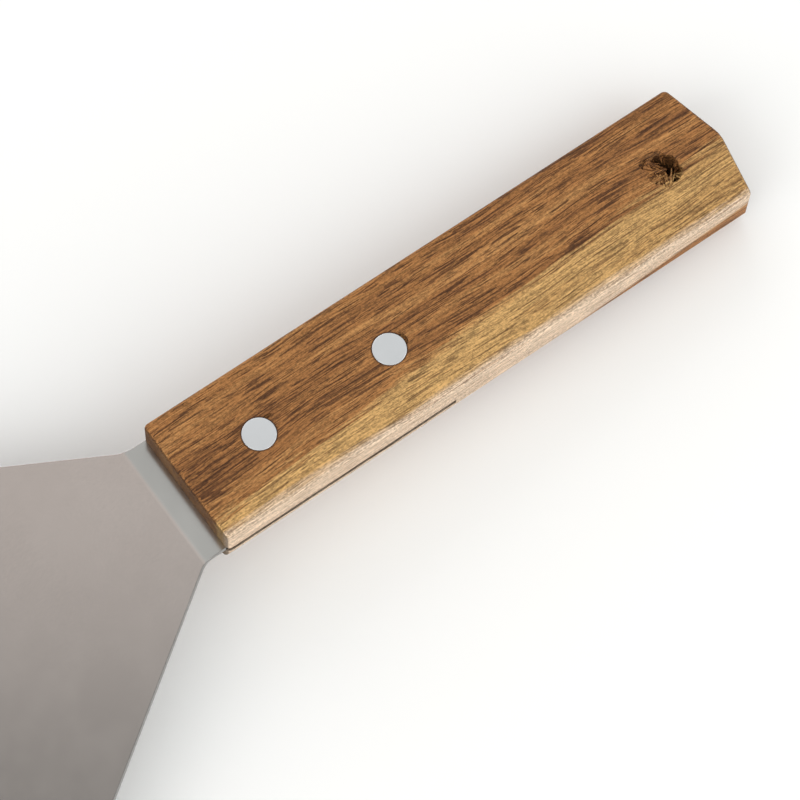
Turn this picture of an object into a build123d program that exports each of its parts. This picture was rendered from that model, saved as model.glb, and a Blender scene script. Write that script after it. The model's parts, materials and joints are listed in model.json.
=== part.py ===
from build123d import *

import os
from math import atan2, cos, degrees, hypot, isclose, radians, sin, tan

# Grill spatula: one stainless sheet (blade, neck and tang) held in the saw slot of a
# wooden handle by two cutler's rivets, each a hollow socket with a pin pressed into it.
# Millimetres and degrees. The spatula lies on the XY plane as it does on a table, on the
# blade's front edge and the point of the butt, with the bend standing up between them.
# The handle runs towards +X, and the origin is below the middle of the overall length.

os.makedirs("parts", exist_ok=True)

# --- Steel sheet ---
sheet_thickness = 1.2
blade_length = 105.0  # front edge to bend
blade_width = 110.0
flare_angle = 32.7  # each flared side, from the centre line
front_corner_radius = 5.0
shoulder_radius = 14.0
neck_corner_radius = 5.0
bevel_length = 4.0  # ground bevel on top of the front edge
bevel_edge_thickness = 0.5
neck_length = 4.4  # bend to handle
bend_angle = 15.0
bend_inner_radius = 3.0

# --- Wooden handle ---
handle_length = 120.0
handle_width = 26.4
handle_thickness = 12.0
butt_point_height = 2.9  # how far the butt's centre stands past its corners
butt_point_radius = 6.0
butt_corner_radius = 1.2
front_corner_round = 1.0
top_edge_radius = 0.8
hang_hole_diameter = 6.5
hang_hole_from_end = 13.2

# --- Rivets ---
rivet_head_diameter = 6.35
rivet_head_thickness = 1.5
rivet_socket_diameter = 4.6
rivet_pin_diameter = 3.0
front_rivet_distance = 16.0  # handle front to first rivet
rivet_spacing = 28.5

# --- Clearances ---
tang_inset = 0.6  # tang edge behind the handle's side face
slot_clearance = 0.05  # above and below the tang
slot_past_rivet = 5.5
tang_end_clearance = 0.5
head_clearance = 0.06  # round each rivet head
bore_clearance = 0.1  # round each socket, in wood and steel
pin_clearance = 0.02  # round each pin in its socket
pin_end_clearance = 0.4

# --- Derived sizes and places ---
neck_width = handle_width - 2 * tang_inset
slot_height = sheet_thickness + 2 * slot_clearance
underside_radius = (handle_thickness - slot_height) / 2
rivet_distances = (front_rivet_distance, front_rivet_distance + rivet_spacing)
slot_length = rivet_distances[-1] + slot_past_rivet
tang_length = slot_length - tang_end_clearance
hang_hole_distance = handle_length - hang_hole_from_end

bend_x = blade_length / 2
shoulder_x = bend_x - (blade_width - neck_width) / 2 / tan(radians(flare_angle))
rise = radians(bend_angle)
bend_offset = sheet_thickness / 2 * tan(rise / 2)

# The handle slopes down from the blade's plane, so the blade lifts off the table by the
# angle that brings the butt's lower edge down onto it.
butt_x = bend_x + (neck_length + handle_length) * cos(rise) - handle_thickness / 2 * sin(rise)
butt_drop = (neck_length + handle_length) * sin(rise) + handle_thickness / 2 * cos(rise)
rest_angle = degrees(atan2(butt_drop - sheet_thickness / 2, butt_x + blade_length / 2))


def planes_at(x):
    """Planes of the blade's underside and of the handle's middle."""
    blade_height = blade_length / 2 * sin(radians(rest_angle))
    under = Location((x, 0, blade_height), (0, -rest_angle, 0))
    bend = under * Location((bend_x, 0, sheet_thickness / 2), (0, bend_angle, 0))
    return Plane(under), Plane(bend * Location((neck_length, 0, 0)))


def front_and_butt(under, middle):
    """The lowest and highest x of the whole spatula."""
    front = under.from_local_coords((-blade_length / 2, 0, bevel_edge_thickness))
    round_x = handle_length - top_edge_radius
    round_centre = (round_x, 0, handle_thickness / 2 - top_edge_radius)
    return front.X, middle.from_local_coords(round_centre).X + top_edge_radius


blade_plane, handle_plane = planes_at(0)
middle_x = sum(front_and_butt(blade_plane, handle_plane)) / 2
blade_plane, handle_plane = planes_at(-middle_x)
side_plane = Plane(blade_plane.origin, x_dir=blade_plane.x_dir, z_dir=-blade_plane.y_dir)
section_plane = Plane(handle_plane.origin, x_dir=handle_plane.y_dir, z_dir=handle_plane.x_dir)
handle_top = handle_plane.offset(handle_thickness / 2)
handle_bottom = handle_plane.offset(-handle_thickness / 2)
handle_up = Axis((0, 0, 0), handle_plane.z_dir)

FROM_TOP = (Align.CENTER, Align.CENTER, Align.MAX)
FROM_BOTTOM = (Align.CENTER, Align.CENTER, Align.MIN)


def corners_at(sketch, x):
    """The sketch's vertices that lie at this x."""
    return [v for v in sketch.vertices() if isclose(v.X, x, abs_tol=1e-4)]


def on_plane(plane, distances):
    """Places along the handle's centre line, on a plane parallel to its top."""
    return [plane * Location((distance, 0, 0)) for distance in distances]


# --- Blade, neck and tang: a bent sheet cut to the outline seen from above ---
tang_end_x = bend_x + (neck_length + tang_length) * cos(rise)
tang_end_z = sheet_thickness / 2 - (neck_length + tang_length) * sin(rise)
half_sheet_x = sheet_thickness / 2 * sin(rise)
half_sheet_z = sheet_thickness / 2 * cos(rise)

with BuildPart() as blade:
    with BuildSketch(side_plane) as side_profile:
        with BuildLine():
            Polyline(
                (-blade_length / 2, 0),
                (bend_x - bend_offset, 0),
                (tang_end_x - half_sheet_x, tang_end_z - half_sheet_z),
                (tang_end_x + half_sheet_x, tang_end_z + half_sheet_z),
                (bend_x + bend_offset, sheet_thickness),
                (-blade_length / 2 + bevel_length, sheet_thickness),
                (-blade_length / 2, bevel_edge_thickness),
                close=True,
            )
        make_face()
        fillet(corners_at(side_profile, bend_x - bend_offset), bend_inner_radius)
        fillet(
            corners_at(side_profile, bend_x + bend_offset), bend_inner_radius + sheet_thickness
        )
    extrude(amount=blade_width, both=True)
    with BuildSketch(blade_plane) as outline:
        outline_end_x = tang_end_x + half_sheet_x + sheet_thickness
        with BuildLine():
            Polyline(
                (-blade_length / 2, -blade_width / 2),
                (shoulder_x, -blade_width / 2),
                (bend_x, -neck_width / 2),
                (outline_end_x, -neck_width / 2),
                (outline_end_x, neck_width / 2),
                (bend_x, neck_width / 2),
                (shoulder_x, blade_width / 2),
                (-blade_length / 2, blade_width / 2),
                close=True,
            )
        make_face()
        fillet(corners_at(outline, bend_x), neck_corner_radius)
        fillet(corners_at(outline, shoulder_x), shoulder_radius)
        fillet(corners_at(outline, -blade_length / 2), front_corner_radius)
    extrude(amount=blade_length, both=True, mode=Mode.INTERSECT)
    with Locations(*on_plane(handle_plane, rivet_distances)):
        Cylinder(
            rivet_socket_diameter / 2 + bore_clearance, 2 * sheet_thickness, mode=Mode.SUBTRACT
        )

blade.part.label = "blade"
export_step(blade.part, "parts/blade.step")

# --- Handle: flat top, upright sides down to the slot, round underside, pointed butt ---
with BuildPart() as handle:
    with BuildSketch(section_plane) as section:
        Rectangle(handle_width, handle_thickness)
        fillet(section.vertices().group_by(Axis.Y)[0], underside_radius)
    extrude(amount=handle_length)
    with BuildSketch(handle_plane) as plan:
        butt_slope = hypot(handle_width / 2, butt_point_height) / (handle_width / 2)
        butt_point_x = handle_length + butt_point_radius * (butt_slope - 1)
        butt_corner_x = butt_point_x - butt_point_height
        with BuildLine():
            Polyline(
                (0, -handle_width / 2),
                (butt_corner_x, -handle_width / 2),
                (butt_point_x, 0),
                (butt_corner_x, handle_width / 2),
                (0, handle_width / 2),
                close=True,
            )
        make_face()
        fillet(corners_at(plan, butt_point_x), butt_point_radius)
        fillet(corners_at(plan, butt_corner_x), butt_corner_radius)
        fillet(corners_at(plan, 0), front_corner_round)
    extrude(amount=handle_thickness, both=True, mode=Mode.INTERSECT)
    fillet(handle.faces().sort_by(handle_up)[-1].edges(), top_edge_radius)
    with Locations(handle_plane):
        Box(
            slot_length,
            2 * handle_width,
            slot_height,
            align=(Align.MIN, Align.CENTER, Align.CENTER),
            mode=Mode.SUBTRACT,
        )
    with Locations(*on_plane(handle_plane, rivet_distances)):
        Cylinder(
            rivet_socket_diameter / 2 + bore_clearance, handle_thickness, mode=Mode.SUBTRACT
        )
    head_pocket_radius = rivet_head_diameter / 2 + head_clearance
    with Locations(*on_plane(handle_top, rivet_distances)):
        Cylinder(
            head_pocket_radius, rivet_head_thickness, align=FROM_TOP, mode=Mode.SUBTRACT
        )
    with Locations(*on_plane(handle_bottom, rivet_distances)):
        Cylinder(
            head_pocket_radius, rivet_head_thickness, align=FROM_BOTTOM, mode=Mode.SUBTRACT
        )
    with Locations(*on_plane(handle_plane, [hang_hole_distance])):
        Cylinder(hang_hole_diameter / 2, handle_thickness, mode=Mode.SUBTRACT)

handle.part.label = "handle"
export_step(handle.part, "parts/handle.step")

# --- Rivets: the socket comes up from the underside, the pin goes down into it ---
socket_length = handle_thickness - 2 * rivet_head_thickness
pin_length = socket_length - pin_end_clearance

for name, distance in zip(("front_rivet", "rear_rivet"), rivet_distances):
    with BuildPart() as socket:
        with Locations(*on_plane(handle_bottom, [distance])):
            Cylinder(rivet_head_diameter / 2, rivet_head_thickness, align=FROM_BOTTOM)
        with Locations(*on_plane(handle_bottom.offset(rivet_head_thickness), [distance])):
            Cylinder(rivet_socket_diameter / 2, socket_length, align=FROM_BOTTOM)
            Cylinder(
                rivet_pin_diameter / 2 + pin_clearance,
                socket_length,
                align=FROM_BOTTOM,
                mode=Mode.SUBTRACT,
            )
    socket.part.label = f"{name}_socket"
    export_step(socket.part, f"parts/{name}_socket.step")

    with BuildPart() as pin:
        with Locations(*on_plane(handle_top, [distance])):
            Cylinder(rivet_head_diameter / 2, rivet_head_thickness, align=FROM_TOP)
        with Locations(*on_plane(handle_top.offset(-rivet_head_thickness), [distance])):
            Cylinder(rivet_pin_diameter / 2, pin_length, align=FROM_TOP)
    pin.part.label = f"{name}_pin"
    export_step(pin.part, f"parts/{name}_pin.step")
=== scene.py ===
import json
from math import atan2, cos, hypot, pi, radians, sin, tan
from random import Random

import bpy
from bpy.props import FloatProperty, FloatVectorProperty, PointerProperty
from bpy.types import Operator, Panel, PropertyGroup
from mathutils import Matrix, Vector


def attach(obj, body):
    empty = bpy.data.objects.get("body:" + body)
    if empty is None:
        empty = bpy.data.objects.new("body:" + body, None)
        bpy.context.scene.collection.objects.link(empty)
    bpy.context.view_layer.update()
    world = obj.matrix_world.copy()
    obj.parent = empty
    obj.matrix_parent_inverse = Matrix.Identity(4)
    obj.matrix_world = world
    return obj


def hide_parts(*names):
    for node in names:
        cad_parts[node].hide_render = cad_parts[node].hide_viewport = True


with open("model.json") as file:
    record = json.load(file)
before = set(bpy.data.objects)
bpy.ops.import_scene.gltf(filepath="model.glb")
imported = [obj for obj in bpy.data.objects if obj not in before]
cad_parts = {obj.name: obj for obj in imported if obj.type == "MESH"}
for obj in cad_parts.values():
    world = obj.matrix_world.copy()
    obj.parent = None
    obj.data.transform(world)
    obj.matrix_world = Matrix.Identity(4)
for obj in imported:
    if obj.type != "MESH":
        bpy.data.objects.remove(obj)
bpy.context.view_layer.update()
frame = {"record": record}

bl_info = {
    "name": "Grill Spatula",
    "version": (1, 0, 0),
    "blender": (4, 5, 0),
    "location": "3D View > Sidebar > Spatula",
    "description": "Builds a grill spatula with a riveted wooden handle on its CAD frame",
    "category": "Add Mesh",
}

MM = 0.001
OVERSHOOT = 5 * MM  # how far a cutter reaches past what it cuts
NEAR = 0.01 * MM  # two coordinates closer than this are the same
TOUCHING = 1e-7  # metres within which a point lies on a cutting plane
HEAD_FACETS = 96  # sides of the rivets' heads and of their pockets
X, Y, Z = range(3)  # places in a vector
ACROSS = Vector((0, 1, 0))


# --------------------------------------------------------------------------------------
# Sizes and colours that a user may change
# --------------------------------------------------------------------------------------


def size(name, millimetres, description):
    """A length property with its default given in millimetres."""
    return FloatProperty(
        name=name,
        description=description,
        default=millimetres * MM,
        min=0.0,
        precision=5,
        subtype="DISTANCE",
        unit="LENGTH",
    )


def angle(name, degrees, description):
    """An angle property with its default given in degrees."""
    return FloatProperty(
        name=name,
        description=description,
        default=radians(degrees),
        subtype="ANGLE",
        unit="ROTATION",
    )


def colour(name, value, description):
    """A linear colour property."""
    return FloatVectorProperty(
        name=name, description=description, default=value, size=3, min=0.0, max=1.0, subtype="COLOR"
    )


class SpatulaSteelSizes(PropertyGroup):
    """Sizes of the blade, neck and tang"""

    thickness: size("Sheet thickness", 1.2, "Thickness of the steel sheet")
    length: size("Blade length", 105, "From the front edge to the bend")
    width: size("Blade width", 110, "Width of the front edge")
    flare: angle("Flare", 32.7, "Angle of each flared side from the centre line")
    front_radius: size("Front corners", 5, "Radius of the two front corners")
    shoulder_radius: size("Shoulders", 14, "Radius where the sides start to taper")
    neck_radius: size("Neck corners", 5, "Radius where the taper meets the neck")
    bevel_length: size("Bevel length", 4, "Length of the ground bevel on the front edge")
    bevel_edge: size("Bevel edge", 0.5, "Thickness left at the front edge")
    neck_width: size("Neck width", 25.2, "Width of the neck and the tang")
    neck_length: size("Neck length", 4.4, "From the bend to the handle")
    tang_length: size("Tang length", 49.5, "Length of the tang inside the handle")
    bend: angle("Bend", 15, "How far the neck is bent down from the blade")
    bend_radius: size("Bend radius", 3.6, "Radius of the bend at the middle of the sheet")
    burr_round: size("Edge round", 0.12, "Rounding left on the cut edges by tumbling")


class SpatulaHandleSizes(PropertyGroup):
    """Sizes of the wooden handle"""

    length: size("Length", 120, "From the front to the point of the butt")
    width: size("Width", 26.4, "Across the handle")
    thickness: size("Thickness", 12, "From the flat top to the underside")
    point_height: size("Point height", 2.9, "How far the butt's centre stands past its corners")
    point_radius: size("Point radius", 6, "Rounding of the butt's point")
    butt_radius: size("Butt corners", 1.2, "Rounding of the butt's two corners")
    front_radius: size("Front corners", 1.0, "Rounding of the two upright front edges")
    edge_radius: size("Top edge", 0.8, "Rounding of the edge round the flat top")
    slot_length: size("Slot length", 50, "Depth of the saw slot from the front")
    slot_height: size("Slot height", 1.3, "Width of the saw cut")
    hole_diameter: size("Hang hole", 6.5, "Diameter of the hang hole")
    hole_from_end: size("Hole from end", 13.2, "From the hang hole's centre to the butt's point")


class SpatulaRivetSizes(PropertyGroup):
    """Sizes of the two rivets"""

    head_diameter: size("Head diameter", 6.35, "Diameter of both heads")
    head_thickness: size("Head thickness", 1.5, "Thickness of each head")
    socket_diameter: size("Socket diameter", 4.6, "Outer diameter of the socket's tube")
    pin_diameter: size("Pin diameter", 3.0, "Diameter of the pin")
    pin_gap: size("Pin gap", 0.4, "From the pin's end to the bottom of the socket")
    first: size("First rivet", 16, "From the front of the handle to the first rivet")
    spacing: size("Spacing", 28.5, "From the first rivet to the second")
    rim_round: size("Rim round", 0.14, "Rounding of the heads' rims")
    head_room: size("Head room", 0.06, "Gap round each head in its pocket")
    bore_room: size("Bore room", 0.1, "Gap round each socket in its bore")
    pin_room: size("Pin room", 0.02, "Gap round each pin in its socket")


class SpatulaFinish(PropertyGroup):
    """Colours of the finishes"""

    steel: colour("Steel", (0.60, 0.585, 0.57), "Faces of the stainless sheet")
    cut_edge: colour("Cut edge", (0.36, 0.35, 0.34), "Cut edge of the sheet")
    rivet: colour("Rivet", (0.80, 0.815, 0.845), "Sanded aluminium of the rivets")
    # painted shade: the tang's edge in the saw slot is painted nearly black
    slot_shade: colour("Slot shade", (0.022, 0.016, 0.012), "Tang's edge in the saw slot, painted dark as shade")
    heart_dark: colour("Heartwood, dark", (0.205, 0.085, 0.027), "Dark bands of the heartwood")
    heart: colour("Heartwood", (0.300, 0.131, 0.041), "The heartwood's middle tone")
    heart_light: colour("Heartwood, light", (0.385, 0.188, 0.064), "Light bands of the heartwood")
    sap_dark: colour("Sapwood, dark", (0.43, 0.243, 0.087), "Darker bands of the sapwood")
    sap: colour("Sapwood", (0.50, 0.298, 0.112), "The sapwood's main tone")
    # painted highlight: the paler colour painted on the side that faces the key light
    side: colour("Lit side, painted paler", (0.64, 0.50, 0.38), "Sapwood on the key-lit side, painted paler as light")
    pore: colour("Pores", (0.075, 0.028, 0.010), "Open pores and dark lines along the grain")
    floor: colour("Floor", (0.95, 0.95, 0.95), "The plain floor")


def steel():
    return bpy.context.scene.spatula_steel


def wood():
    return bpy.context.scene.spatula_handle


def rivet():
    return bpy.context.scene.spatula_rivet


def finish():
    return bpy.context.scene.spatula_finish


def rivet_distances():
    """How far the two rivets stand from the front of the handle."""
    return rivet().first, rivet().first + rivet().spacing


def hole_distance():
    """How far the hang hole stands from the front of the handle."""
    return wood().length - wood().hole_from_end


# --------------------------------------------------------------------------------------
# Where the blade and the handle lie, from the CAD part's mounts
# --------------------------------------------------------------------------------------


def mount(name):
    """A mount's point and its axis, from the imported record."""
    found = next(m for m in frame["record"]["mounts"] if m["name"] == name)
    return Vector(found["pos_m"]), Vector(found["axis"]).normalized()


def place(origin, up):
    """The matrix of a frame whose z is up, whose y is the row's and whose x runs to the butt."""
    along = ACROSS.cross(up)
    turn = Matrix((along, ACROSS, up)).transposed().to_4x4()
    return Matrix.Translation(origin) @ turn


def handle_place():
    """The handle's frame: the middle of its front face, at the middle of the sheet."""
    hole, up = mount("hang_hole")
    return place(hole - ACROSS.cross(up) * hole_distance(), up)


def blade_place():
    """The blade's frame: the middle of the blade, on its underside."""
    face, up = mount("blade_face")
    return place(face - up * steel().thickness, up)


# --------------------------------------------------------------------------------------
# Modelling by hand, in code
# --------------------------------------------------------------------------------------


def only(made):
    """Selects this object alone and makes it the active one."""
    bpy.ops.object.select_all(action="DESELECT")
    made.select_set(True)
    bpy.context.view_layer.objects.active = made


def done():
    """Goes back to object mode."""
    bpy.ops.object.mode_set(mode="OBJECT")


def added(operator, name, **settings):
    """Adds a primitive with nothing else selected, and returns its object."""
    bpy.ops.object.select_all(action="DESELECT")
    operator(**settings)
    made = bpy.context.active_object
    made.name = name
    made.data.name = name
    return made


def block(name, low, high):
    """A cube primitive stretched between two corners."""
    made = added(bpy.ops.mesh.primitive_cube_add, name, size=1)
    spans = [b - a for a, b in zip(low, high)]
    centre = [(a + b) / 2 for a, b in zip(low, high)]
    made.matrix_world = Matrix.Translation(centre) @ Matrix.Diagonal((*spans, 1))
    bpy.ops.object.transform_apply()
    return made


def pick(made, kind, test):
    """Goes into edit mode with just those vertices, edges or faces selected that pass the test."""
    bpy.context.view_layer.objects.active = made
    bpy.ops.object.mode_set(mode="EDIT")
    bpy.ops.mesh.select_mode(type=kind)
    bpy.ops.mesh.select_all(action="DESELECT")
    bpy.ops.object.mode_set(mode="OBJECT")
    mesh = made.data
    items = {"VERT": mesh.vertices, "EDGE": mesh.edges, "FACE": mesh.polygons}[kind]
    for item in items:
        item.select = bool(test(item))
    bpy.ops.object.mode_set(mode="EDIT")


def everything(_):
    """A test that every item passes."""
    return True


def near(a, b, room=NEAR):
    """Whether two coordinates are the same, give or take."""
    return abs(a - b) < room


def edge_at(made, axis, *values):
    """A test for edges that have both ends at one of these values of x, y or z."""

    def test(edge):
        spots = [made.data.vertices[i].co[axis] for i in edge.vertices]
        return any(all(near(spot, value) for spot in spots) for value in values)

    return test


def cut(made, point, normal, drop=True):
    """Cuts the mesh with a plane, and drops what lies on the normal's side or keeps both."""
    pick(made, "VERT", everything)
    bpy.ops.mesh.bisect(
        plane_co=point, plane_no=normal, use_fill=drop, clear_outer=drop, threshold=TOUCHING
    )
    done()


def modify(made, kind, **settings):
    """Adds a modifier and applies it."""
    only(made)
    modifier = made.modifiers.new(kind.title(), kind)
    for key, value in settings.items():
        setattr(modifier, key, value)
    bpy.ops.object.modifier_apply(modifier=modifier.name)


def carve(made, tool, operation="DIFFERENCE"):
    """Takes the tool's shape from the piece, or keeps what both share, and drops the tool."""
    modify(made, "BOOLEAN", operation=operation, object=tool, solver="EXACT")
    bpy.data.objects.remove(tool)


def rod(name, point, radius, low, high, vertices=64):
    """An upright cylinder between two heights."""
    made = added(
        bpy.ops.mesh.primitive_cylinder_add,
        name,
        vertices=vertices,
        radius=radius,
        depth=high - low,
        location=(point[0], point[1], (low + high) / 2),
    )
    bpy.ops.object.transform_apply()
    return made


def put(made, matrix):
    """Moves a piece to its place and leaves its object at the origin."""
    only(made)
    made.matrix_world = matrix
    bpy.ops.object.transform_apply()


def smooth(made, limit):
    """Shades the rounded edges smooth, and keeps the broad faces flat."""
    only(made)
    bpy.ops.object.shade_smooth_by_angle(angle=radians(limit))
    modify(made, "WEIGHTED_NORMAL", weight=100, keep_sharp=True)


def finished(made, node, slot_name, *materials):
    """Gives a piece its materials, and lets it stand for its CAD node."""
    for material in materials:
        made.data.materials.append(material)
    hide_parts(node)
    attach(made, "root")


# --------------------------------------------------------------------------------------
# Shader nodes
# --------------------------------------------------------------------------------------


class Graph:
    """Adds nodes to a tree and links them."""

    def __init__(self, tree):
        self.tree = tree
        tree.nodes.clear()

    def add(self, kind, inputs=None, **settings):
        made = self.tree.nodes.new(kind)
        made.location = (220 * (len(self.tree.nodes) % 8), -260 * (len(self.tree.nodes) // 8))
        for key, value in settings.items():
            setattr(made, key, value)
        for key, value in (inputs or {}).items():
            if isinstance(value, bpy.types.NodeSocket):
                self.tree.links.new(value, made.inputs[key])
            else:
                made.inputs[key].default_value = value
        return made

    def math(self, operation, a, b=0.0):
        made = self.add("ShaderNodeMath", {0: a, 1: b}, operation=operation)
        return made.outputs[0]

    def weighted(self, first, second):
        """The sum of two values, each of them given with its weight."""
        return self.math("ADD", self.math("MULTIPLY", *first), self.math("MULTIPLY", *second))

    def scaled(self, vector, factors):
        made = self.add("ShaderNodeVectorMath", {0: vector, 1: factors}, operation="MULTIPLY")
        return made.outputs[0]

    def noise(self, vector, factors, detail=2.0, roughness=0.5):
        """Noise whose scale along x, y and z is given by the factors."""
        made = self.add(
            "ShaderNodeTexNoise",
            {
                "Vector": self.scaled(vector, factors),
                "Scale": 1.0,
                "Detail": detail,
                "Roughness": roughness,
            },
        )
        return made.outputs[0]

    def ramp(self, value, low, high, start=0.0, end=1.0):
        """A smooth step from start to end as the value goes from low to high."""
        made = self.add(
            "ShaderNodeMapRange",
            {0: value, 1: low, 2: high, 3: start, 4: end},
            interpolation_type="SMOOTHSTEP",
        )
        return made.outputs[0]

    def mix(self, factor, a, b, blend="MIX"):
        made = self.add(
            "ShaderNodeMix", {0: factor, 6: a, 7: b}, data_type="RGBA", blend_type=blend
        )
        return made.outputs[2]

    def parts(self, vector):
        made = self.add("ShaderNodeSeparateXYZ", {0: vector})
        return made.outputs[:]

    def shared(self, name, inputs=None):
        """Uses one of the shared node groups, and returns its outputs."""
        tree = bpy.data.node_groups[name]
        return self.add("ShaderNodeGroup", inputs, node_tree=tree).outputs


def group(name, inputs, outputs):
    """A new shader node group's graph, the values given to it and the sockets of its output."""
    tree = bpy.data.node_groups.new(name, "ShaderNodeTree")
    for label, kind, default in inputs:
        socket = tree.interface.new_socket(label, in_out="INPUT", socket_type=f"NodeSocket{kind}")
        if default is not None:
            socket.default_value = default
    for label, kind in outputs:
        tree.interface.new_socket(label, in_out="OUTPUT", socket_type=f"NodeSocket{kind}")
    graph = Graph(tree)
    return graph, graph.add("NodeGroupInput").outputs, graph.add("NodeGroupOutput").inputs


def link(graph, pairs):
    """Links each output socket to its input socket."""
    for source, target in pairs:
        graph.tree.links.new(source, target)


def opaque(rgb):
    """A colour with its alpha."""
    return (*rgb, 1.0)


def place_group():
    """Turns object coordinates into millimetres in the handle's frame."""
    graph, _, out = group("Handle Millimetres", [], [("Vector", "Vector")])
    back = handle_place().inverted()
    mapped = graph.add(
        "ShaderNodeMapping",
        {
            "Vector": graph.add("ShaderNodeTexCoord").outputs["Object"],
            "Location": back.translation,
            "Rotation": back.to_euler(),
        },
    )
    link(graph, [(graph.scaled(mapped.outputs[0], (1 / MM, 1 / MM, 1 / MM)), out["Vector"])])


# the wood's noises: changes to the millimetre along the grain and across it, detail, roughness
BANDS = ((0.009, 0.22, 0.22), 3.0, 0.55)
STREAKS = ((0.035, 1.3, 1.3), 4.0, 0.65)
HAIRS = ((0.16, 4.5, 4.5), 2.0, 0.6)
SPECKLE = ((1.8, 3.4, 3.4), 2.0, 0.7)
FINE_PORES = ((0.22, 3.6, 3.6), 0.0)
COARSE_PORES = ((0.10, 2.3, 2.3), 0.0)
DRAWN_LINES = ((0.012, 3.0, 3.0), 1.0)
WANDER = (0.018, 0.05, 0.05)
WANDER_REACH = 5.0  # millimetres by which the grain strays from straight


def fibre_group():
    """Bands, streaks, open pores and a fine speckle, all drawn out along the grain."""
    graph, given, out = group(
        "Wood Fibre",
        [("Vector", "Vector", None), ("Pore Density", "Float", 0.5)],
        [(label, "Float") for label in ("Bands", "Streaks", "Pores", "Lines", "Speckle", "Height")],
    )
    vector = given["Vector"]
    wander = graph.add(
        "ShaderNodeTexNoise",
        {"Vector": graph.scaled(vector, WANDER), "Scale": 1.0, "Detail": 2.0},
    )
    sway = graph.add(
        "ShaderNodeVectorMath", {0: wander.outputs[1], 1: (0.5, 0.5, 0.5)}, operation="SUBTRACT"
    ).outputs[0]
    offset = graph.scaled(sway, (0, WANDER_REACH, WANDER_REACH))
    bent = graph.add("ShaderNodeVectorMath", {0: vector, 1: offset}, operation="ADD").outputs[0]
    bands = graph.noise(bent, *BANDS)
    streaks = graph.noise(bent, *STREAKS)
    hairs = graph.noise(bent, *HAIRS)
    speckle = graph.noise(vector, *SPECKLE)
    # open pores are short dashes, gathered where the bands are darker
    shift = graph.math("MULTIPLY", graph.math("SUBTRACT", given["Pore Density"], bands), 0.30)
    fine = graph.math("ADD", graph.noise(bent, *FINE_PORES), shift)
    coarse = graph.math("ADD", graph.noise(bent, *COARSE_PORES), shift)
    pores = graph.math(
        "MAXIMUM",
        graph.math("MULTIPLY", graph.ramp(fine, 0.635, 0.685), 0.85),
        graph.ramp(coarse, 0.655, 0.695),
    )
    lines = graph.ramp(graph.noise(bent, *DRAWN_LINES), 0.52, 0.66)
    relief = graph.weighted((hairs, 0.5), (streaks, 0.35))
    height = graph.math("SUBTRACT", relief, graph.math("MULTIPLY", pores, 0.9))
    link(
        graph,
        [
            (bands, out["Bands"]),
            (streaks, out["Streaks"]),
            (pores, out["Pores"]),
            (lines, out["Lines"]),
            (graph.weighted((speckle, 0.5), (hairs, 0.5)), out["Speckle"]),
            (height, out["Height"]),
        ],
    )


GAP_SHADE_RING = (0.08, 0.38)  # millimetres past a head's edge between which the dark ring, painted shade of the gap with sanding dust, fades


def rivet_gap_shade_group():
    """A dark ring round each rivet head: painted shade of the tight gap, with sanding dust."""
    graph, given, out = group("Rivet Gap Shade And Dust", [("Vector", "Vector", None)], [("Ring", "Float")])
    x, y, _ = graph.parts(given["Vector"])
    edge = rivet().head_diameter / 2 / MM
    rings = []
    for distance in rivet_distances():
        away = graph.math("SUBTRACT", x, distance / MM)
        far = graph.math("SQRT", graph.weighted((away, away), (y, y)))
        rings.append(graph.ramp(far, edge + GAP_SHADE_RING[0], edge + GAP_SHADE_RING[1], 1.0, 0.0))
    link(graph, [(graph.math("MAXIMUM", *rings), out["Ring"])])


def principled(graph, inputs):
    """Ends a material's graph with the shader and the output."""
    shader = graph.add("ShaderNodeBsdfPrincipled", inputs)
    graph.add("ShaderNodeOutputMaterial", {"Surface": shader.outputs[0]})


def new_material(name):
    """A material and its empty graph."""
    material = bpy.data.materials.new(name)
    material.use_nodes = True
    return material, Graph(material.node_tree)


# the two borders of the sapwood: how fast each one rises to the butt, and its place at the front
SAP_BORDER = (0.077, -9.8)  # across the top, in y
SAP_UNDERSIDE = (0.118, -10.8)  # up the side, in z
# the side facing the key light is painted paler, a painted highlight: where it fades in, and how
# strong it is
LIT_SIDE_FADE = (0.3, 2.0)  # millimetres in from the lit side between which its painted paler colour fades
LIT_SIDE_SHARE = 0.85
PORE_SHARE = 0.86  # how strongly the open pores show, and how much less in the sapwood
PORE_LOSS = 0.28
PIT_DARK = (0.09, 0.085, 0.08, 1)  # small pits in the metal


def sapwood_share(graph, x, y, z, wobble):
    """Where the wood is pale: a strip that widens to the butt, with heartwood again low down."""
    border, underside = (
        graph.math("ADD", graph.math("MULTIPLY", x, rise), start)
        for rise, start in (SAP_BORDER, SAP_UNDERSIDE)
    )
    beyond = graph.math("ADD", graph.math("SUBTRACT", border, y), wobble)
    above = graph.weighted((graph.math("SUBTRACT", z, underside), 1.0), (wobble, 0.35))
    return graph.math("MULTIPLY", graph.ramp(beyond, -0.9, 0.9), graph.ramp(above, -0.8, 0.8))


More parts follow.
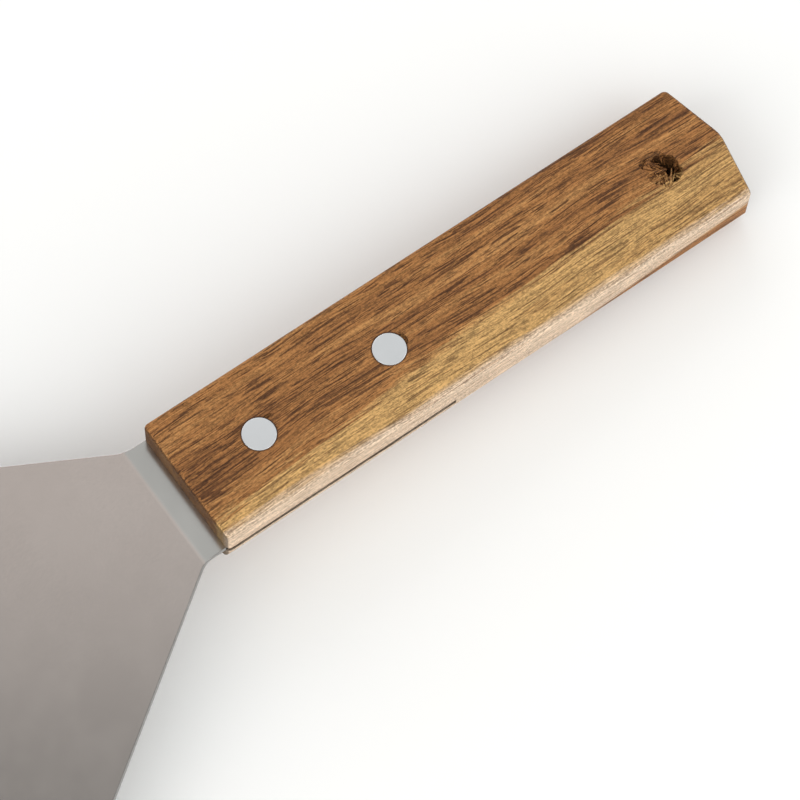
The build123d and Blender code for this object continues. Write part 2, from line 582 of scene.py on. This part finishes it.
def wood_material(name, shade=1.0, pore_density=0.5):
    """Brown heartwood with a pale sapwood side, whose key-lit face gets a painted highlight. Shade
    darkens it, as on end grain and in cuts; on the end faces and in the saw slot it is partly
    painted shade.
    """
    material, graph = new_material(name)
    paint = finish()
    spot = graph.shared("Handle Millimetres")["Vector"]
    fibre = graph.shared("Wood Fibre", {"Vector": spot, "Pore Density": pore_density})
    x, y, z = graph.parts(spot)
    streak = graph.math("SUBTRACT", fibre["Streaks"], 0.5)
    band = graph.math("SUBTRACT", fibre["Bands"], 0.5)
    # three tones of heartwood and two of sapwood, from dark to light
    tone = graph.weighted((band, 0.6), (streak, 0.5))
    heart = graph.mix(graph.ramp(tone, -0.13, 0.0), opaque(paint.heart_dark), opaque(paint.heart))
    heart = graph.mix(graph.ramp(tone, -0.01, 0.12), heart, opaque(paint.heart_light))
    sap = graph.mix(graph.ramp(tone, -0.10, 0.03), opaque(paint.sap_dark), opaque(paint.sap))
    sap_share = sapwood_share(graph, x, y, z, graph.weighted((streak, 7.0), (band, 5.0)))
    body = graph.mix(sap_share, heart, sap)
    # painted highlight: the side that faces the key light is painted paler as light, fading in over
    # the rounded edge
    side_y = -wood().width / 2 / MM
    faded = graph.weighted((y, 1.0), (streak, 3.0))
    lit_side_paint = graph.ramp(faded, side_y + LIT_SIDE_FADE[0], side_y + LIT_SIDE_FADE[1], LIT_SIDE_SHARE, 0.0)
    lit_side_paint = graph.math("MULTIPLY", lit_side_paint, sap_share)
    body = graph.mix(lit_side_paint, body, opaque(paint.side))
    drawn = graph.math("MULTIPLY", fibre["Lines"], graph.math("MULTIPLY", lit_side_paint, 0.45))
    body = graph.mix(drawn, body, opaque(paint.heart_dark))
    pore_strength = graph.math("SUBTRACT", PORE_SHARE, graph.math("MULTIPLY", sap_share, PORE_LOSS))
    pore_share = graph.math("MULTIPLY", fibre["Pores"], pore_strength)
    # the pores are left out under the lit side's painted highlight
    pore_share = graph.math("MULTIPLY", pore_share, graph.math("SUBTRACT", 1.0, lit_side_paint))
    body = graph.mix(pore_share, body, opaque(paint.pore))
    # the speckle makes spots up to half darker or half lighter
    grain = graph.ramp(fibre["Speckle"], 0.34, 0.66, 0.50, 1.50)
    tint = graph.add("ShaderNodeCombineXYZ", {0: grain, 1: grain, 2: grain}).outputs[0]
    lit = graph.mix(1.0, body, tint, "MULTIPLY")
    # a dark ring round each rivet head: painted shade of the tight gap, with sanding dust
    ring = graph.shared("Rivet Gap Shade And Dust", {"Vector": spot})["Ring"]
    lit = graph.mix(graph.math("MULTIPLY", ring, 0.8), lit, opaque(paint.pore))
    # on the darker end-grain material this darkening is partly painted shade, on the end faces and
    # in the saw slot
    if shade < 1.0:
        lit = graph.mix(1.0, lit, (shade, shade * 1.02, shade * 1.04, 1.0), "MULTIPLY")
    bump = graph.add(
        "ShaderNodeBump", {"Strength": 0.5, "Distance": 0.12 * MM, "Height": fibre["Height"]}
    )
    principled(
        graph,
        {
            "Base Color": lit,
            "Roughness": graph.ramp(fibre["Streaks"], 0.3, 0.7, 0.58, 0.72),
            "Specular IOR Level": 0.22,
            "Normal": bump.outputs[0],
        },
    )
    return material


def scratch_group():
    """Fine parallel sanding lines, cloudy patches and a few small pits."""
    graph, given, out = group(
        "Fine Scratches",
        [("Vector", "Vector", None), ("Across", "Float", 6.0)],
        [("Lines", "Float"), ("Clouds", "Float"), ("Pits", "Float")],
    )
    vector = given["Vector"]
    stretch = graph.add("ShaderNodeCombineXYZ", {0: 0.05, 1: given["Across"], 2: given["Across"]})
    lines = graph.noise(vector, stretch.outputs[0], 3.0, 0.6)
    clouds = graph.noise(vector, (0.06, 0.06, 0.06), 3.0, 0.55)
    spread = graph.scaled(vector, (0.075, 0.075, 0.075))
    cells = graph.add("ShaderNodeTexVoronoi", {"Vector": spread, "Scale": 1.0}).outputs[0]
    pits = graph.ramp(cells, 0.015, 0.035, 1.0, 0.0)
    link(graph, [(lines, out["Lines"]), (clouds, out["Clouds"]), (pits, out["Pits"])])


def steel_material(name, base, roughness, edge=False):
    """Satin metal, or the coarser cut edge of the sheet."""
    material, graph = new_material(name)
    spot = graph.shared("Handle Millimetres")["Vector"]
    across, relief = (3.0, 0.5) if edge else (7.0, 0.02)
    marks = graph.shared("Fine Scratches", {"Vector": spot, "Across": across})
    smudge = graph.ramp(marks["Clouds"], 0.32, 0.68)
    dull = graph.mix(smudge, opaque([c * 0.95 for c in base]), opaque([c * 1.03 for c in base]))
    dull = graph.mix(graph.math("MULTIPLY", marks["Pits"], 0.7), dull, PIT_DARK)
    rough = graph.math(
        "ADD",
        graph.ramp(marks["Lines"], 0.3, 0.7, roughness - 0.025, roughness + 0.025),
        graph.ramp(marks["Clouds"], 0.3, 0.7, -0.015, 0.015),
    )
    bump = graph.add(
        "ShaderNodeBump", {"Strength": relief, "Distance": 0.03 * MM, "Height": marks["Lines"]}
    )
    principled(
        graph,
        {"Base Color": dull, "Metallic": 1.0, "Roughness": rough, "Normal": bump.outputs[0]},
    )
    return material


class SPATULA_OT_finishes(Operator):
    """Make the node groups that the finishes share"""

    bl_idname = "spatula.finishes"
    bl_label = "Make finishes"

    def execute(self, context):
        place_group()
        fibre_group()
        rivet_gap_shade_group()
        scratch_group()
        return {"FINISHED"}


# --------------------------------------------------------------------------------------
# Blade
# --------------------------------------------------------------------------------------

BEND_STEPS = 8  # small turns that make up the bend
BROAD_FACE = 0.6  # least cosine between up and the normal of the sheet's broad faces


def flat_sheet():
    """The sheet before it is bent, as one flat face at the middle of its thickness."""
    s = steel()
    front, bend = -s.length / 2, s.length / 2
    shoulder = bend - (s.width - s.neck_width) / 2 / tan(s.flare)
    sheet = added(bpy.ops.mesh.primitive_plane_add, "spatula_blade", size=1)
    middle = Matrix.Translation(((front + shoulder) / 2, 0, 0))
    sheet.matrix_world = middle @ Matrix.Diagonal((shoulder - front, s.width, 1, 1))
    bpy.ops.object.transform_apply()
    reached = shoulder
    tang_end = bend + s.neck_length + s.tang_length
    for x, taper in ((bend, s.neck_width / s.width), (tang_end, 1.0)):
        pick(sheet, "EDGE", edge_at(sheet, X, reached))
        bpy.ops.mesh.extrude_region_move(TRANSFORM_OT_translate={"value": (x - reached, 0, 0)})
        bpy.ops.transform.resize(value=(1, taper, 1), center_override=(x, 0, 0))
        done()
        reached = x
    pick(sheet, "EDGE", edge_at(sheet, X, shoulder, bend))
    bpy.ops.mesh.dissolve_edges(use_verts=False)
    done()
    half_turn = tan(s.flare / 2)
    for x, reach in (
        (front, s.front_radius),
        (shoulder, s.shoulder_radius * half_turn),
        (bend, s.neck_radius * half_turn),
    ):
        pick(sheet, "VERT", lambda v: near(v.co.x, x))
        bpy.ops.mesh.bevel(offset=reach, segments=10, affect="VERTICES", profile=0.5)
        done()
    return sheet


def bend_sheet(sheet):
    """Bends the neck down from the blade in small steps, as a press brake does."""
    s = steel()
    step = s.bend / BEND_STEPS
    arc = s.bend_radius * s.bend
    start = s.length / 2 - s.bend_radius * tan(s.bend / 2)
    stations = [start + arc * (i + 0.5) / BEND_STEPS for i in range(BEND_STEPS)]
    handle_front = s.length / 2 + s.neck_length
    for x in (-s.length / 4, 0, s.length / 4, start, *stations, start + arc, handle_front):
        cut(sheet, (x, 0, 0), (1, 0, 0), drop=False)
    moved, height, turned, behind = start, 0.0, 0.0, start
    for x in stations:
        moved += (x - behind) * cos(turned)
        height -= (x - behind) * sin(turned)
        turn_past(sheet, (moved, 0, height), turned, step)
        turned += step
        behind = x
    return sheet


def turn_past(sheet, crease, turned, step):
    """Turns everything past a line across the sheet down by one step."""
    ahead = Vector((cos(turned), 0, -sin(turned)))
    pick(sheet, "VERT", lambda v: (v.co - Vector(crease)).dot(ahead) > NEAR / 10)
    bpy.ops.transform.rotate(value=-step, orient_axis="Y", center_override=crease)
    done()


class SPATULA_OT_blade(Operator):
    """Cut, bend and grind the steel sheet"""

    bl_idname = "spatula.blade"
    bl_label = "Blade, neck and tang"

    def execute(self, context):
        s, r = steel(), rivet()
        sheet = bend_sheet(flat_sheet())
        modify(sheet, "SOLIDIFY", thickness=s.thickness, offset=0.0, use_even_offset=True)
        put(sheet, Matrix.Translation((0, 0, s.thickness / 2)))
        slope = (s.bevel_edge - s.thickness, 0, s.bevel_length)
        cut(sheet, (-s.length / 2, 0, s.bevel_edge), slope)
        bend = Matrix.Translation((s.length / 2, 0, s.thickness / 2))
        tang = bend @ Matrix.Rotation(s.bend, 4, "Y")
        for distance in rivet_distances():
            bore = r.socket_diameter / 2 + r.bore_room
            drill = rod("drill", (0, 0), bore, -OVERSHOOT, OVERSHOOT)
            drill.matrix_world = tang @ Matrix.Translation((s.neck_length + distance, 0, 0))
            carve(sheet, drill)
        modify(
            sheet,
            "BEVEL",
            width=s.burr_round,
            segments=2,
            limit_method="ANGLE",
            angle_limit=radians(40),
        )
        smooth(sheet, 35)
        put(sheet, blade_place())
        finished(
            sheet,
            "blade",
            "sheet_steel",
            steel_material("Satin Steel Sheet", finish().steel, 0.19),
            steel_material("Cut Steel Edge", finish().cut_edge, 0.42, edge=True),
            # painted shade on the tang's edge in the saw slot
            steel_material("Tang Edge Painted Shade", finish().slot_shade, 0.55, edge=True),
        )
        ups = [there.col[Z].to_3d() for there in (blade_place(), handle_place())]
        back = handle_place().inverted()
        for face in sheet.data.polygons:
            if max(abs(face.normal.dot(up)) for up in ups) > BROAD_FACE:
                face.material_index = 0
            else:
                # edges inside the handle get the slot's painted shade, nearly black; the others get
                # the cut edge's colour
                in_handle = (back @ face.center).x > 0
                face.material_index = 2 if in_handle else 1
        return {"FINISHED"}


# --------------------------------------------------------------------------------------
# Handle
# --------------------------------------------------------------------------------------

LEVEL_FACE = 0.97  # least cosine between up and the normal of a level face
FRONT_FACE, BUTT_FACE = -0.7, 0.6  # cosines to the grain beyond which a face is end grain
# how far the torn wood's colour reaches past the hang hole and past a tear
HOLE_TORN_ROOM = 1.2 * MM
TORN_ROOM = 0.3 * MM

BORE_RINGS = 35  # cuts round the rough bore, which is ragged from ring to ring
BORE_STEP = 0.35 * MM
BORE_RAGGED = (1.3 * MM, 1.1 * MM)  # depth and grain
GOUGE_RAGGED = (0.25 * MM, 0.5 * MM)

FIBRES = 170  # left standing in the hang hole
FIBRES_ON_LEDGE = FIBRES * 3 // 4
FIBRE_ROOT = 0.6 * MM  # part of each fibre that is inside the wood
# degrees round the hole, and in millimetres the fibre's length and its depth below the top
LEDGE_FIBRES = ((105, 262), (1.6, 3.8), (0.3, 1.9))
LOOSE_FIBRES = ((0, 360), (0.5, 1.3), (0.3, 3.5))


def handle_section():
    """A bar with a flat top, upright sides and a round underside."""
    w = wood()
    low = (-OVERSHOOT, -w.width / 2, -w.thickness / 2)
    bar = block("wooden_handle", low, (w.length + OVERSHOOT, w.width / 2, w.thickness / 2))
    pick(bar, "EDGE", edge_at(bar, Z, -w.thickness / 2))
    bpy.ops.mesh.bevel(offset=(w.thickness - w.slot_height) / 2, segments=12, profile=0.5)
    done()
    return bar


def handle_plan():
    """The outline seen from above: a straight bar with a pointed butt."""
    w = wood()
    slope = hypot(w.width / 2, w.point_height) / (w.width / 2)
    point = w.length + w.point_radius * (slope - 1)
    corner = point - w.point_height
    plan = added(bpy.ops.mesh.primitive_plane_add, "handle_plan", size=1)
    middle = Matrix.Translation((corner / 2, 0, 0))
    plan.matrix_world = middle @ Matrix.Diagonal((corner, w.width, 1, 1))
    bpy.ops.object.transform_apply()
    pick(plan, "EDGE", edge_at(plan, X, corner))
    bpy.ops.mesh.subdivide()
    done()
    pick(plan, "VERT", lambda v: near(v.co.y, 0))
    bpy.ops.transform.translate(value=(point - corner, 0, 0))
    done()
    turn = atan2(w.point_height, w.width / 2)
    for x, reach, segments in (
        (0, w.front_radius, 6),
        (corner, w.butt_radius * tan((pi / 2 - turn) / 2), 8),
        (point, w.point_radius * tan(turn), 8),
    ):
        pick(plan, "VERT", lambda v: near(v.co.x, x))
        bpy.ops.mesh.bevel(offset=reach, segments=segments, affect="VERTICES", profile=0.5)
        done()
    pick(plan, "FACE", everything)
    bpy.ops.mesh.extrude_region_move(TRANSFORM_OT_translate={"value": (0, 0, w.thickness * 2)})
    bpy.ops.mesh.select_all(action="SELECT")
    bpy.ops.mesh.normals_make_consistent(inside=False)
    bpy.ops.transform.translate(value=(0, 0, -w.thickness))
    done()
    return plan


def tears():
    """Where wood tore out of the top: each spot, and how far the tear reaches each way."""
    front, rear = rivet_distances()
    rim = rivet().head_diameter / 2
    crack = ((front + 0.95 * rim, 0.62 * rim), (1.0 * MM, 0.35 * MM, 0.5 * MM))
    notch = ((rear + 1.02 * rim, 0.10 * rim), (0.65 * MM, 1.35 * MM, 0.8 * MM))
    dent = ((hole_distance() - 0.8 * MM, 2.9 * MM), (2.6 * MM, 1.5 * MM, 0.9 * MM))
    return crack, notch, dent


def ragged(made, depth, grain):
    """Roughens a cutter, so that it leaves torn wood."""
    texture = bpy.data.textures.new("Ragged", "CLOUDS")
    texture.noise_scale = grain
    texture.noise_depth = 2
    modify(made, "DISPLACE", texture=texture, strength=depth, mid_level=0.4, texture_coords="LOCAL")


def torn_drill():
    """A blunt drill's hole: a rough bore all the way through."""
    top = wood().thickness / 2
    reach = top + OVERSHOOT
    radius = wood().hole_diameter / 2
    bore = rod("torn_drill", (hole_distance(), 0), radius, -reach, reach, 72)
    for ring in range(BORE_RINGS):
        cut(bore, (0, 0, top - BORE_STEP * ring), (0, 0, 1), drop=False)
    ragged(bore, *BORE_RAGGED)
    return bore


def gouge(spot, reach):
    """A shallow ragged hollow in the top face."""
    tool = added(bpy.ops.mesh.primitive_ico_sphere_add, "gouge", subdivisions=4, radius=1)
    on_top = Matrix.Translation((*spot, wood().thickness / 2))
    tool.matrix_world = on_top @ Matrix.Diagonal((*reach, 1))
    bpy.ops.object.transform_apply()
    ragged(tool, *GOUGE_RAGGED)
    return tool


def standing_fibres():
    """Loose fibres that the drill left standing in the hang hole, rooted on its wall."""
    random = Random(11)
    radius = wood().hole_diameter / 2
    top = wood().thickness / 2
    strands = []
    for order in range(FIBRES):
        angles, lengths, depths = LEDGE_FIBRES if order < FIBRES_ON_LEDGE else LOOSE_FIBRES
        around = radians(random.uniform(*angles))
        length = random.uniform(*lengths) * MM
        depth = random.uniform(*depths) * MM
        aim = around + pi + random.uniform(-0.75, 0.75)
        slope = random.uniform(-0.45, 0.12)
        wide = random.uniform(0.16, 0.40) * MM
        root = Vector((hole_distance() + radius * cos(around), radius * sin(around), top - depth))
        way = Vector((cos(aim), sin(aim), slope)).normalized()
        strand = added(
            bpy.ops.mesh.primitive_cone_add,
            "fibre",
            vertices=5,
            radius1=wide,
            radius2=wide * 0.25,
            depth=length + FIBRE_ROOT,
        )
        turn = way.to_track_quat("Z", "Y").to_matrix().to_4x4()
        middle = root + way * (length - FIBRE_ROOT) / 2
        strand.matrix_world = Matrix.Translation(middle) @ turn
        bpy.ops.object.transform_apply()
        strands.append(strand)
    bpy.ops.object.select_all(action="DESELECT")
    for strand in strands:
        strand.select_set(True)
    bpy.context.view_layer.objects.active = strands[0]
    bpy.ops.object.join()
    strands[0].name = "hang_hole_fibres"
    strands[0].data.name = "hang_hole_fibres"
    return strands[0]


def in_tear(point):
    """Whether a point of the handle lies in the hang hole or where wood tore out."""
    hole_reach = wood().hole_diameter / 2 + HOLE_TORN_ROOM
    if hypot(point.x - hole_distance(), point.y) < hole_reach:
        return True
    return any(
        hypot((point.x - x) / (long + TORN_ROOM), (point.y - y) / (wide + TORN_ROOM)) < 1
        for (x, y), (long, wide, _) in tears()
    )


class SPATULA_OT_handle(Operator):
    """Shape, slot, drill and sand the wooden handle"""

    bl_idname = "spatula.handle"
    bl_label = "Wooden handle"

    def execute(self, context):
        w, r = wood(), rivet()
        handle = handle_section()
        carve(handle, handle_plan(), "INTERSECT")
        top = w.thickness / 2
        pick(handle, "EDGE", edge_at(handle, Z, top))
        bpy.ops.mesh.bevel(offset=w.edge_radius, segments=4, profile=0.5)
        done()
        slot = block(
            "saw_cut",
            (-OVERSHOOT, -w.width, -w.slot_height / 2),
            (w.slot_length, w.width, w.slot_height / 2),
        )
        carve(handle, slot)
        bore, pocket = r.socket_diameter / 2 + r.bore_room, r.head_diameter / 2 + r.head_room
        reach, floor = top + OVERSHOOT, top - r.head_thickness
        for distance in rivet_distances():
            spot = (distance, 0)
            carve(handle, rod("bore", spot, bore, -reach, reach))
            carve(handle, rod("top_pocket", spot, pocket, floor, reach, HEAD_FACETS))
            carve(handle, rod("low_pocket", spot, pocket, -reach, -floor, HEAD_FACETS))
        carve(handle, torn_drill())
        for spot, reach in tears():
            carve(handle, gouge(spot, reach))
        smooth(handle, 32)
        put(handle, handle_place())
        finished(
            handle,
            "handle",
            "handle_wood",
            wood_material("Oiled Wood"),
            # end grain is darker; this material also paints shade on the end faces and in the saw
            # slot
            wood_material("End Grain And Painted Shade", shade=0.40),
            wood_material("Torn Wood", shade=0.75, pore_density=0.6),
        )
        along, up = handle_place().col[X].to_3d(), handle_place().col[Z].to_3d()
        back = handle_place().inverted()
        for face in handle.data.polygons:
            centre = back @ face.center
            level = abs(face.normal.dot(up)) > LEVEL_FACE
            # the saw slot's faces take the darker end-grain material, as painted shade in the slot
            in_slot = level and near(abs(centre.z), w.slot_height / 2, 5 * NEAR)
            if in_tear(centre) and not (level and near(abs(centre.z), top)):
                face.material_index = 2
            elif in_slot or not FRONT_FACE <= face.normal.dot(along) <= BUTT_FACE:
                face.material_index = 1
        fibres = standing_fibres()
        put(fibres, handle_place())
        finished(fibres, "handle", "handle_wood", wood_material("Torn Fibres"))
        return {"FINISHED"}


# --------------------------------------------------------------------------------------
# Rivets
# --------------------------------------------------------------------------------------



def copied(made, name):
    """A copy of a piece with its own mesh."""
    twin = made.copy()
    twin.data = made.data.copy()
    twin.name = name
    twin.data.name = name
    bpy.context.scene.collection.objects.link(twin)
    return twin


def turned_head(name, facing):
    """A rivet head with a softly rounded rim, its face at z = 0 and its body behind it."""
    r = rivet()
    low, high = (-r.head_thickness, 0) if facing > 0 else (0, r.head_thickness)
    head = rod(name, (0, 0), r.head_diameter / 2, low, high, HEAD_FACETS)
    pick(head, "EDGE", edge_at(head, Z, 0))
    bpy.ops.mesh.bevel(offset=r.rim_round, segments=3, profile=0.5)
    done()
    return head


def grow_shank(head, facing, radius, length):
    """Draws a round shank out of the back of a head."""
    r = rivet()
    back = -facing * r.head_thickness
    pick(head, "FACE", lambda f: near(f.center.z, back) and f.normal.z * facing < -0.9)
    bpy.ops.mesh.inset(thickness=r.head_diameter / 2 - radius)
    bpy.ops.mesh.extrude_region_move(TRANSFORM_OT_translate={"value": (0, 0, -facing * length)})
    done()


class SPATULA_OT_rivets(Operator):
    """Turn the pins and sockets of the two rivets"""

    bl_idname = "spatula.rivets"
    bl_label = "Rivets"

    def execute(self, context):
        w, r = wood(), rivet()
        metal = steel_material("Sanded Aluminium", finish().rivet, 0.34)
        barrel = w.thickness - 2 * r.head_thickness
        pin = turned_head("pin", 1)
        grow_shank(pin, 1, r.pin_diameter / 2, barrel - r.pin_gap)
        socket = turned_head("socket", -1)
        grow_shank(socket, -1, r.socket_diameter / 2, barrel)
        bore = r.pin_diameter / 2 + r.pin_room
        carve(socket, rod("socket_bore", (0, 0), bore, r.head_thickness, w.thickness))
        top = w.thickness / 2
        for piece, label, height in ((pin, "pin", top), (socket, "socket", -top)):
            smooth(piece, 35)
            for end, distance in zip(("front", "rear"), rivet_distances()):
                twin = copied(piece, f"{end}_rivet_{label}_turned")
                put(twin, handle_place() @ Matrix.Translation((distance, 0, height)))
                finished(twin, f"{end}_rivet_{label}", "rivet_metal", metal)
            bpy.data.objects.remove(piece)
        return {"FINISHED"}


# --------------------------------------------------------------------------------------
# Stage
# --------------------------------------------------------------------------------------

# the camera, in the handle's frame
CAMERA_SPOT = Vector((-113.139, -188.962, 570.981)) * MM
CAMERA_RIGHT = Vector((0.80914885, -0.58668143, 0.03290944))
CAMERA_UP = Vector((0.53156815, 0.75470605, 0.38451799))
CAMERA_LENS = 154.72  # these two in millimetres
CAMERA_SENSOR = 36.0

FLOOR_SIZE = 8  # these two in metres
LIGHT_DISTANCE = 1.6
# name, direction from the origin, width and height in metres, power in watts
SOFTBOXES = (
    ("key_softbox", (0.55, -0.75, 0.6), (2.6, 1.6), 13.0),
    ("left_softbox", (-0.9, -0.15, 0.55), (1.4, 1.4), 7.0),
    ("back_softbox", (0.2, 0.95, 0.5), (1.4, 1.4), 6.5),
)

CEILING_WAY = Vector((0.6, 0.8, 0))  # the level way in which the ceiling's brightness changes
WALL_LEVEL = 1.05
WARM_WHITE = (1.0, 0.90, 0.845, 1.0)
COOL_WHITE = (0.98, 1.0, 0.975, 1.0)


def floor_material():
    """A pale, even floor."""
    material, graph = new_material("Plain Floor")
    spot = graph.add("ShaderNodeTexCoord").outputs["Object"]
    mottle = graph.noise(spot, (3, 3, 3))
    shade = finish().floor
    tone = graph.mix(mottle, opaque([c * 0.99 for c in shade]), opaque(shade))
    principled(graph, {"Base Color": tone, "Roughness": 0.9, "Specular IOR Level": 0.1})
    return material


def softbox(name, direction, span, power):
    """An area light that faces the origin from a direction."""
    light = bpy.data.lights.new(name, "AREA")
    light.shape = "RECTANGLE"
    light.size, light.size_y = span
    light.energy = power
    box = bpy.data.objects.new(name, light)
    bpy.context.scene.collection.objects.link(box)
    way = Vector(direction).normalized()
    turn = way.to_track_quat("Z", "Y").to_matrix().to_4x4()
    box.matrix_world = Matrix.Translation(way * LIGHT_DISTANCE) @ turn


def studio_world():
    """White walls, and a ceiling whose brightness changes across it, for the steel to mirror."""
    world = bpy.data.worlds.new("Studio")
    world.use_nodes = True
    graph = Graph(world.node_tree)
    way = graph.add("ShaderNodeTexCoord").outputs["Generated"]
    along, across = (
        graph.add(
            "ShaderNodeVectorMath", {0: way, 1: line}, operation="DOT_PRODUCT"
        ).outputs["Value"]
        for line in (CEILING_WAY, CEILING_WAY.cross(Vector((0, 0, 1))))
    )
    # dark overhead, brighter one way, and brightest at the far end of the other
    rise = graph.ramp(along, 0.0, 0.10, 0.14, 0.82)
    fall = graph.ramp(along, 0.15, 0.38, 1.0, 0.79)
    far_end = graph.ramp(along, -0.45, -0.15, 1.15, 0.0)
    ceiling = graph.math("MAXIMUM", graph.math("MULTIPLY", rise, fall), far_end)
    beside = graph.ramp(across, -0.28, -0.08)
    cool = graph.math("MAXIMUM", beside, graph.ramp(along, 0.0, 0.1, 1.0, 0.0))
    wall = graph.ramp(graph.parts(way)[Z], 0.05, 0.5, 1.0, 0.0)
    tint = graph.mix(wall, graph.mix(cool, WARM_WHITE, COOL_WHITE), (1, 1, 1, 1))
    level = graph.add("ShaderNodeMapRange", {0: wall, 3: ceiling, 4: WALL_LEVEL}).outputs[0]
    light = graph.add("ShaderNodeBackground", {"Color": tint, "Strength": level})
    graph.add("ShaderNodeOutputWorld", {"Surface": light.outputs[0]})
    return world


def studio_camera():
    """The camera, placed from the handle."""
    lens = bpy.data.cameras.new("camera")
    lens.lens = CAMERA_LENS
    lens.sensor_width = CAMERA_SENSOR
    lens.clip_start = 0.01
    camera = bpy.data.objects.new("camera", lens)
    bpy.context.scene.collection.objects.link(camera)
    base = handle_place()
    right, up = base.to_3x3() @ CAMERA_RIGHT, base.to_3x3() @ CAMERA_UP
    axes = Matrix((right, up, right.cross(up))).transposed().to_4x4()
    camera.matrix_world = Matrix.Translation(base @ CAMERA_SPOT) @ axes
    return camera


class SPATULA_OT_stage(Operator):
    """Add the floor, the soft studio lights and the camera"""

    bl_idname = "spatula.stage"
    bl_label = "Stage"

    def execute(self, context):
        floor = added(bpy.ops.mesh.primitive_plane_add, "studio_floor", size=FLOOR_SIZE)
        floor.data.materials.append(floor_material())
        for settings in SOFTBOXES:
            softbox(*settings)
        scene = context.scene
        scene.world = studio_world()
        scene.view_settings.view_transform = "Standard"
        scene.camera = studio_camera()
        return {"FINISHED"}


class SPATULA_PT_panel(Panel):
    """Lists the steps in the order in which they are run"""

    bl_idname = "SPATULA_PT_panel"
    bl_label = "Grill Spatula"
    bl_space_type = "VIEW_3D"
    bl_region_type = "UI"
    bl_category = "Spatula"

    def draw(self, context):
        for step in STEPS:
            self.layout.operator(step.bl_idname)
        for sizes in (steel(), wood(), rivet(), finish()):
            box = self.layout.box()
            for name in sizes.__annotations__:
                box.prop(sizes, name)


GROUPS = {
    "spatula_steel": SpatulaSteelSizes,
    "spatula_handle": SpatulaHandleSizes,
    "spatula_rivet": SpatulaRivetSizes,
    "spatula_finish": SpatulaFinish,
}
STEPS = (
    SPATULA_OT_stage,
    SPATULA_OT_finishes,
    SPATULA_OT_blade,
    SPATULA_OT_handle,
    SPATULA_OT_rivets,
)


def register():
    for made in (*GROUPS.values(), *STEPS, SPATULA_PT_panel):
        bpy.utils.register_class(made)
    for name, kind in GROUPS.items():
        setattr(bpy.types.Scene, name, PointerProperty(type=kind))


def unregister():
    for name in GROUPS:
        delattr(bpy.types.Scene, name)
    for made in (SPATULA_PT_panel, *STEPS, *GROUPS.values()):
        bpy.utils.unregister_class(made)


def main():
    register()
    bpy.ops.spatula.stage()
    bpy.ops.spatula.finishes()
    bpy.ops.spatula.blade()
    bpy.ops.spatula.handle()
    bpy.ops.spatula.rivets()


if __name__ == "__main__":
    main()
